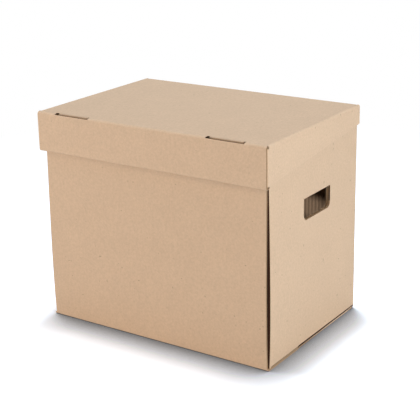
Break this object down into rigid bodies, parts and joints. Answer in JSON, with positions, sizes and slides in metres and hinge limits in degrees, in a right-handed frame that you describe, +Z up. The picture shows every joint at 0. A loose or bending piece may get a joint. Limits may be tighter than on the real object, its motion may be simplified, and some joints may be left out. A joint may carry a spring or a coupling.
{
  "type": "archive container with attached lid",
  "caption": "Archive container of brown corrugated board: double front and side walls, hand holes with push-in flaps, and an attached lid with a deep front skirt and tapered side skirts.",
  "frame": {"origin": "centre of the floor under the whole closed container, lid included", "axes": "+Z up, -Y towards the front wall with the lid's lock slots, +X towards the right side wall"},
  "size_m": [0.4228, 0.29, 0.35],
  "materials": {
    "outside_board": "matte",
    "inside_board": "matte"
  },
  "bodies": {
    "container": {"base_panel": "outside_board", "back_panel": "outside_board", "front_outer_panel": "outside_board", "front_rim": "outside_board", "front_inner_panel": "inside_board", "right_front_ear": "inside_board", "right_side_outer": "outside_board", "right_bottom_flap": "inside_board", "right_side_rim": "outside_board", "right_side_inner": "inside_board", "left_front_ear": "inside_board", "left_side_outer": "outside_board", "left_bottom_flap": "inside_board", "left_side_rim": "outside_board", "left_side_inner": "inside_board"},
    "lid": {"lid_top": "outside_board", "lid_front_outer": "outside_board", "lid_front_hem": "outside_board", "lid_front_inner": "inside_board", "lid_right_skirt": "outside_board", "lid_right_ear": "inside_board", "lid_left_skirt": "outside_board", "lid_left_ear": "inside_board"},
    "right_flap": {"right_handle_flap": "outside_board"},
    "left_flap": {"left_handle_flap": "outside_board"}
  },
  "joints": [
    {"name": "lid_hinge", "type": "hinge", "parent": "container", "child": "lid", "pos_m": [0, 0.145, 0.35], "axis": [-1, 0, 0], "range_deg": [0, 265]},
    {"name": "right_flap_hinge", "type": "hinge", "parent": "container", "child": "right_flap", "pos_m": [0.205, 0.011, 0.241], "axis": [0, -1, 0], "range_deg": [0, 125]},
    {"name": "left_flap_hinge", "type": "hinge", "parent": "container", "child": "left_flap", "pos_m": [-0.205, 0.011, 0.241], "axis": [0, 1, 0], "range_deg": [0, 125]}
  ]
}
